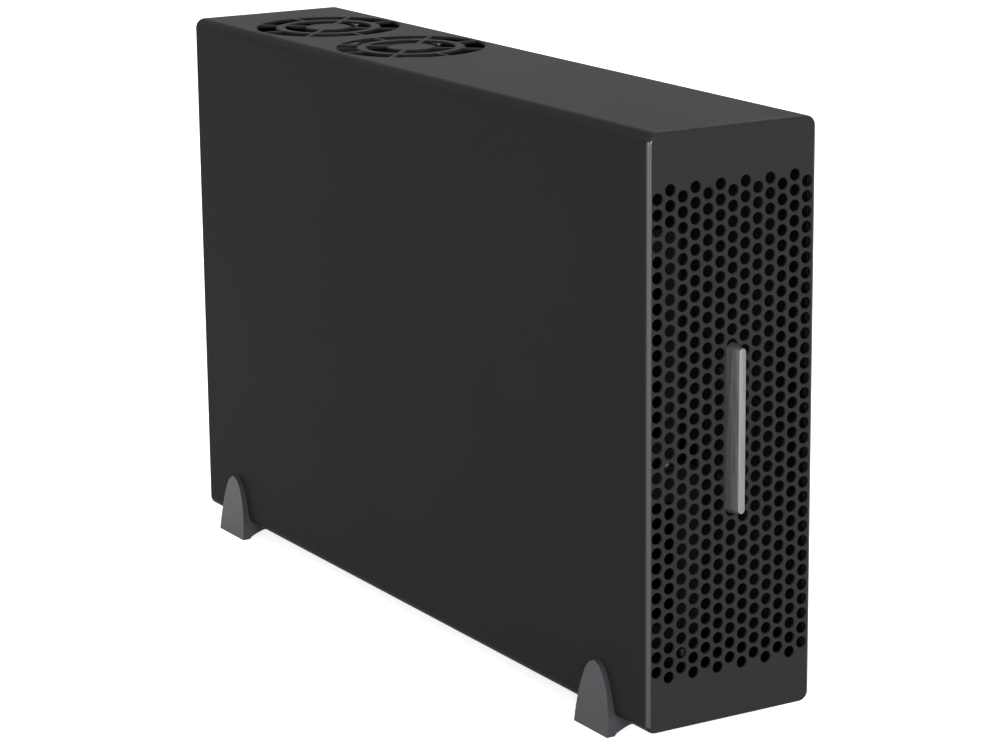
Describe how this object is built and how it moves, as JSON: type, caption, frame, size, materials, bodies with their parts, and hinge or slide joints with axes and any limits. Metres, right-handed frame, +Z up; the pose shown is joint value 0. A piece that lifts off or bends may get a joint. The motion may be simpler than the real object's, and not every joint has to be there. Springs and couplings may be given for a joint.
{
  "type": "pcie expansion chassis",
  "caption": "Narrow upright enclosure for plug-in expansion cards. Its inner chassis slides out to the front behind a perforated panel, under two top fans.",
  "frame": {"origin": "on the floor, under the middle of the part's bounding box", "axes": "+Z up; +Y from the perforated front panel to the rear; +X to the right for someone who faces the front panel"},
  "size_m": [0.0986, 0.456, 0.28],
  "materials": {
    "dark_paint": "fine satin powder coat, near black",
    "front_paint": "fine satin powder coat, near black",
    "inner_paint": "plain satin coat, near black",
    "foot_plastic": "dark grey satin moulding",
    "satin_aluminium": "satin",
    "zinc_sheet": "plain zinc-plated sheet",
    "bright_steel": "bright plated",
    "screw_steel": "zinc plated",
    "black_plastic": "moulded",
    "board_green": "solder mask",
    "brass": "turned",
    "copper_coil": "wound",
    "sink_aluminium": "extruded",
    "cable_jacket": "matte",
    "ribbon_grey": "flexible jacket",
    "header_cream": "moulded",
    "board_tan": "board with its parts",
    "light_green": "clear lens"
  },
  "bodies": {
    "case": {"outer_case": "dark_paint", "foot_front_left": "foot_plastic", "foot_front_right": "foot_plastic", "foot_rear_left": "foot_plastic", "foot_rear_right": "foot_plastic", "foot_screws": "screw_steel"},
    "chassis": {"front_bezel": "front_paint", "bezel_screws": "screw_steel", "trim_bar": "satin_aluminium", "trim_nuts": "screw_steel", "front_frame": "inner_paint", "chassis_tray": "inner_paint", "rear_panel": "dark_paint", "frame_screws": "screw_steel", "slot_frame": "zinc_sheet", "slot_cover_1": "bright_steel", "slot_cover_2": "bright_steel", "slot_cover_3": "bright_steel", "slot_screws": "screw_steel", "bracket_cover": "zinc_sheet", "board_shelf": "inner_paint", "shelf_screws": "screw_steel", "card_guide": "inner_paint", "card_rails": "black_plastic", "backplane_board": "board_green", "board_standoffs": "brass", "board_screws": "screw_steel", "slot_connector_1": "black_plastic", "slot_connector_2": "black_plastic", "slot_connector_3": "black_plastic", "aux_power_socket": "black_plastic", "board_headers": "header_cream", "controller_board": "board_green", "heat_sink": "sink_aluminium", "data_port_1": "bright_steel", "data_port_2": "bright_steel", "status_light": "light_green", "link_ribbon": "ribbon_grey", "fan_deck": "inner_paint", "fan_frame_front": "black_plastic", "fan_frame_rear": "black_plastic", "fan_stators": "copper_coil", "fan_screws": "screw_steel", "fan_leads": "cable_jacket", "psu_case": "zinc_sheet", "psu_board": "board_tan", "psu_fan_frame": "black_plastic", "psu_screws": "screw_steel", "panel_screws": "screw_steel", "inlet_socket": "black_plastic", "inlet_pins": "bright_steel", "switch_housing": "black_plastic", "power_harness": "cable_jacket"},
    "fan_front": {"fan_rotor_front": "black_plastic"},
    "fan_rear": {"fan_rotor_rear": "black_plastic"},
    "psu_fan": {"psu_rotor": "black_plastic"},
    "rocker": {"switch_rocker": "black_plastic"},
    "screw_top": {"thumbscrew_top": "screw_steel"},
    "screw_bottom": {"thumbscrew_bottom": "screw_steel"}
  },
  "joints": [
    {"name": "chassis_slide", "type": "slide", "parent": "case", "child": "chassis", "axis": [0, -1, 0], "range_m": [0, 0.44]},
    {"name": "fan_front_spin", "type": "hinge", "parent": "chassis", "child": "fan_front", "pos_m": [0, 0.0635, 0.2608], "axis": [0, 0, 1], "continuous": true},
    {"name": "fan_rear_spin", "type": "hinge", "parent": "chassis", "child": "fan_rear", "pos_m": [0, 0.152, 0.2608], "axis": [0, 0, 1], "continuous": true},
    {"name": "psu_fan_spin", "type": "hinge", "parent": "chassis", "child": "psu_fan", "pos_m": [-0.02105, 0.2063, 0.0707], "axis": [0, 1, 0], "continuous": true},
    {"name": "rocker_tilt", "type": "hinge", "parent": "chassis", "child": "rocker", "pos_m": [-0.02105, 0.2143, 0.044], "axis": [0, 0, 1], "range_deg": [0, 16]},
    {"name": "screw_top_draw", "type": "slide", "parent": "case", "child": "screw_top", "axis": [0, 1, 0], "range_m": [0, 0.005]},
    {"name": "screw_bottom_draw", "type": "slide", "parent": "case", "child": "screw_bottom", "axis": [0, 1, 0], "range_m": [0, 0.005]}
  ]
}
